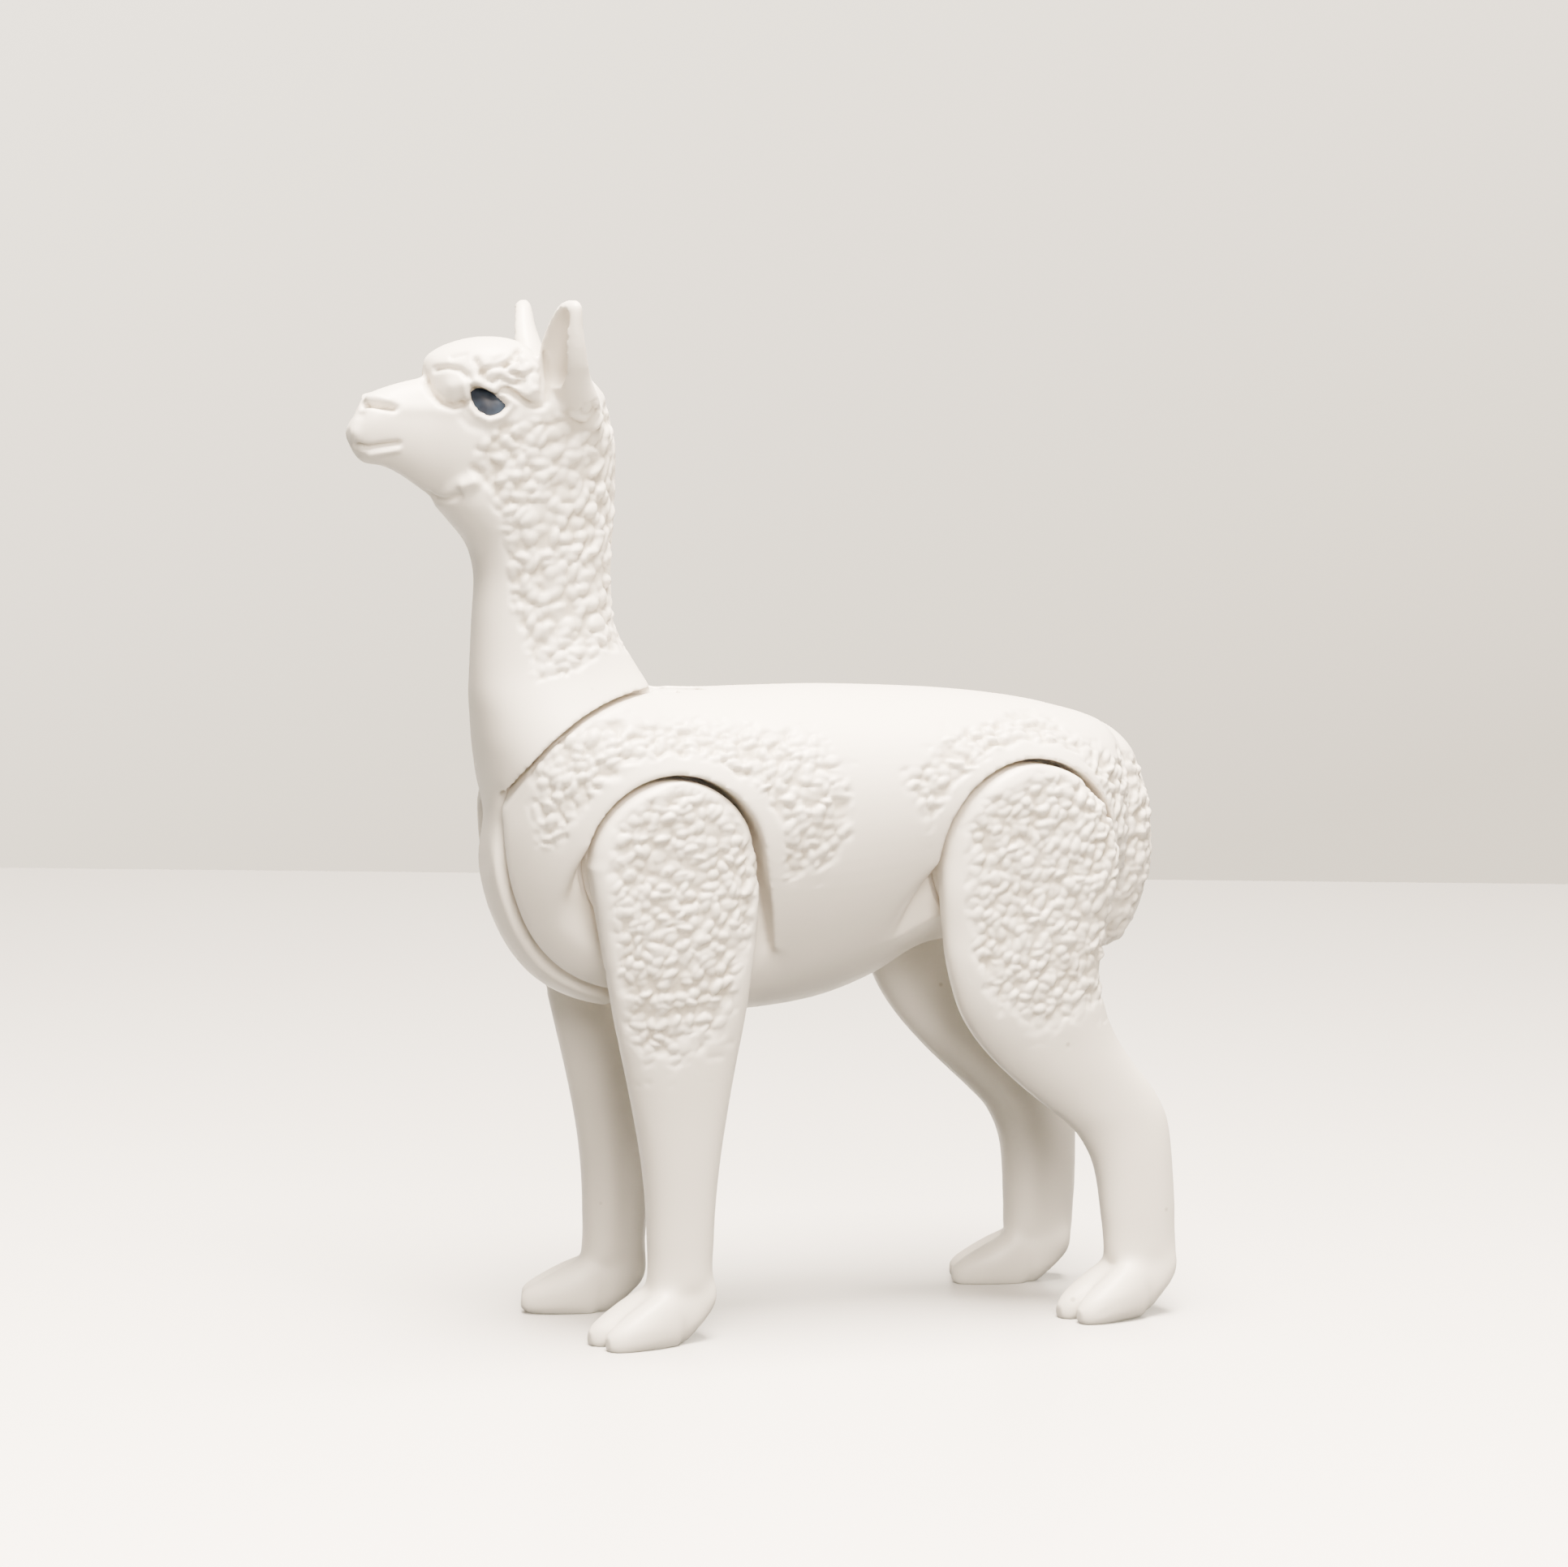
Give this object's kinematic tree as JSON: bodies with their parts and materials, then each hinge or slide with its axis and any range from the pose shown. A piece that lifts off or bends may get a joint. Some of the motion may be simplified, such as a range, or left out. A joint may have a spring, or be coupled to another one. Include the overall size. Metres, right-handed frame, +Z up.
{
  "type": "articulated toy alpaca figure",
  "caption": "Small moulded plastic alpaca that stands on its feet. The neck tilts on a disc at the shoulders and each leg swings in its own socket.",
  "frame": {"origin": "on the floor under the middle of the figure's bounding box", "axes": "+Z up; the nose points to -X and the tail to +X; the figure's left side is at -Y"},
  "size_m": [0.0746, 0.0244, 0.09],
  "materials": {
    "white_plastic": "warm white moulded plastic with a soft sheen",
    "eye_paint": "glossy navy-black paint"
  },
  "bodies": {
    "trunk": {"trunk_left": "white_plastic", "trunk_right": "white_plastic", "tail": "white_plastic"},
    "neck": {"neck": "white_plastic", "head": "white_plastic", "topknot": "white_plastic", "ear_left": "white_plastic", "ear_right": "white_plastic", "eye_left": "eye_paint", "eye_right": "eye_paint"},
    "foreleg_left": {"foreleg_left": "white_plastic", "forefoot_left": "white_plastic"},
    "foreleg_right": {"foreleg_right": "white_plastic", "forefoot_right": "white_plastic"},
    "hindleg_left": {"hindleg_left": "white_plastic", "hindfoot_left": "white_plastic"},
    "hindleg_right": {"hindleg_right": "white_plastic", "hindfoot_right": "white_plastic"}
  },
  "joints": [
    {"name": "neck_tilt", "type": "hinge", "parent": "trunk", "child": "neck", "pos_m": [-0.01115, 0, 0.042], "axis": [0, 1, 0], "range_deg": [-20, 4]},
    {"name": "foreleg_left_swing", "type": "hinge", "parent": "trunk", "child": "foreleg_left", "pos_m": [-0.01115, 0, 0.042], "axis": [0, 1, 0], "range_deg": [-14, 32]},
    {"name": "foreleg_right_swing", "type": "hinge", "parent": "trunk", "child": "foreleg_right", "pos_m": [-0.01115, 0, 0.042], "axis": [0, 1, 0], "range_deg": [-17, 29]},
    {"name": "hindleg_left_swing", "type": "hinge", "parent": "trunk", "child": "hindleg_left", "pos_m": [0.0217, 0, 0.0417], "axis": [0, 1, 0], "range_deg": [-25, 16]},
    {"name": "hindleg_right_swing", "type": "hinge", "parent": "trunk", "child": "hindleg_right", "pos_m": [0.0217, 0, 0.0417], "axis": [0, 1, 0], "range_deg": [-30, 11]}
  ]
}
